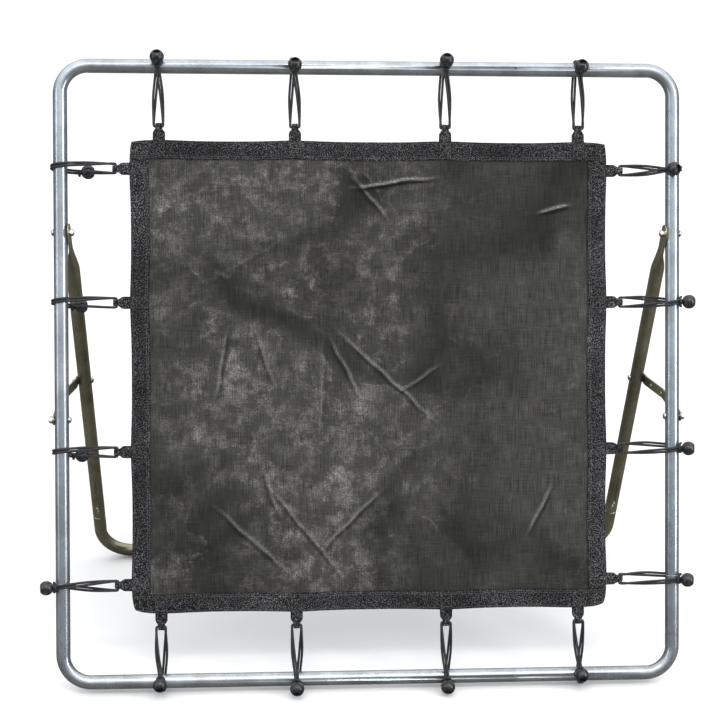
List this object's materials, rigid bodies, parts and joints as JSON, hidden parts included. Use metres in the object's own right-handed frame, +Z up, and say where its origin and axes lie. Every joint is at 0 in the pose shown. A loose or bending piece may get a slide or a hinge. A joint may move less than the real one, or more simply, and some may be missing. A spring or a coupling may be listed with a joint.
{
  "type": "pitch back rebounder",
  "caption": "Free-standing ball rebounder: a mesh net hung on bungee ball ties in a leaning tube frame, propped by a folding rear leg on slotted braces.",
  "frame": {"origin": "centre of the footprint, on the ground", "axes": "+X along the top tube, to the right of someone who faces the net's front; -Y out of the net's front, towards the thrower; +Z up"},
  "size_m": [1.0466, 0.4898, 0.9594],
  "materials": {
    "galvanised_tube": "satin galvanised",
    "dull_zinc": "dull galvanised",
    "bright_zinc": "bright zinc plate",
    "mesh_cloth": "fine open weave",
    "webbing": "woven tape",
    "elastic": "braided sheath",
    "ball_plastic": "glossy"
  },
  "bodies": {
    "frame": {"frame_upper_tube": "galvanised_tube", "frame_lower_tube": "galvanised_tube", "left_pivot_bolt": "bright_zinc", "left_pivot_nut": "bright_zinc", "left_upright_brace_bolt": "bright_zinc", "left_upright_brace_nut": "bright_zinc", "right_pivot_bolt": "bright_zinc", "right_pivot_nut": "bright_zinc", "right_upright_brace_bolt": "bright_zinc", "right_upright_brace_nut": "bright_zinc", "top_tie1_cord": "elastic", "top_tie1_ball": "ball_plastic", "top_tie2_cord": "elastic", "top_tie2_ball": "ball_plastic", "top_tie3_cord": "elastic", "top_tie3_ball": "ball_plastic", "top_tie4_cord": "elastic", "top_tie4_ball": "ball_plastic", "right_tie1_cord": "elastic", "right_tie1_ball": "ball_plastic", "right_tie2_cord": "elastic", "right_tie2_ball": "ball_plastic", "right_tie3_cord": "elastic", "right_tie3_ball": "ball_plastic", "right_tie4_cord": "elastic", "right_tie4_ball": "ball_plastic", "bottom_tie1_cord": "elastic", "bottom_tie1_ball": "ball_plastic", "bottom_tie2_cord": "elastic", "bottom_tie2_ball": "ball_plastic", "bottom_tie3_cord": "elastic", "bottom_tie3_ball": "ball_plastic", "bottom_tie4_cord": "elastic", "bottom_tie4_ball": "ball_plastic", "left_tie1_cord": "elastic", "left_tie1_ball": "ball_plastic", "left_tie2_cord": "elastic", "left_tie2_ball": "ball_plastic", "left_tie3_cord": "elastic", "left_tie3_ball": "ball_plastic", "left_tie4_cord": "elastic", "left_tie4_ball": "ball_plastic"},
    "leg": {"leg_left_tube": "dull_zinc", "leg_right_tube": "dull_zinc", "leg_lower_tube": "dull_zinc", "leg_left_button": "bright_zinc", "leg_right_button": "bright_zinc", "left_leg_brace_bolt": "bright_zinc", "left_leg_brace_nut": "bright_zinc", "right_leg_brace_bolt": "bright_zinc", "right_leg_brace_nut": "bright_zinc"},
    "left_strip": {"left_brace": "dull_zinc"},
    "right_strip": {"right_brace": "dull_zinc"},
    "net": {"net_panel": "mesh_cloth", "top_hem": "webbing", "right_hem": "webbing", "bottom_hem": "webbing", "left_hem": "webbing"}
  },
  "joints": [
    {"name": "leg_fold", "type": "hinge", "parent": "frame", "child": "leg", "pos_m": [0, 0.03939, 0.68353], "axis": [-1, 0, 0], "range_deg": [0, 13]},
    {"name": "left_brace_swing", "type": "hinge", "parent": "leg", "child": "left_strip", "pos_m": [-0.476, 0.12135, 0.40014], "axis": [1, 0, 0], "range_deg": [0, 6.5]},
    {"name": "right_brace_swing", "type": "hinge", "parent": "leg", "child": "right_strip", "pos_m": [0.476, 0.12135, 0.40014], "axis": [1, 0, 0], "range_deg": [0, 6.5]},
    {"name": "net_rebound", "type": "slide", "parent": "frame", "child": "net", "axis": [0, 0.9385, -0.3453], "range_m": [-0.02, 0.06], "stiffness_N_per_m": 1500, "deforming": ["top_tie1_cord", "top_tie2_cord", "top_tie3_cord", "top_tie4_cord", "right_tie1_cord", "right_tie2_cord", "right_tie3_cord", "right_tie4_cord", "bottom_tie1_cord", "bottom_tie2_cord", "bottom_tie3_cord", "bottom_tie4_cord", "left_tie1_cord", "left_tie2_cord", "left_tie3_cord", "left_tie4_cord"]}
  ],
  "couplings": [
    {"joint": "left_brace_swing", "follows": "leg_fold", "ratio": 0.5},
    {"joint": "right_brace_swing", "follows": "leg_fold", "ratio": 0.5}
  ]
}
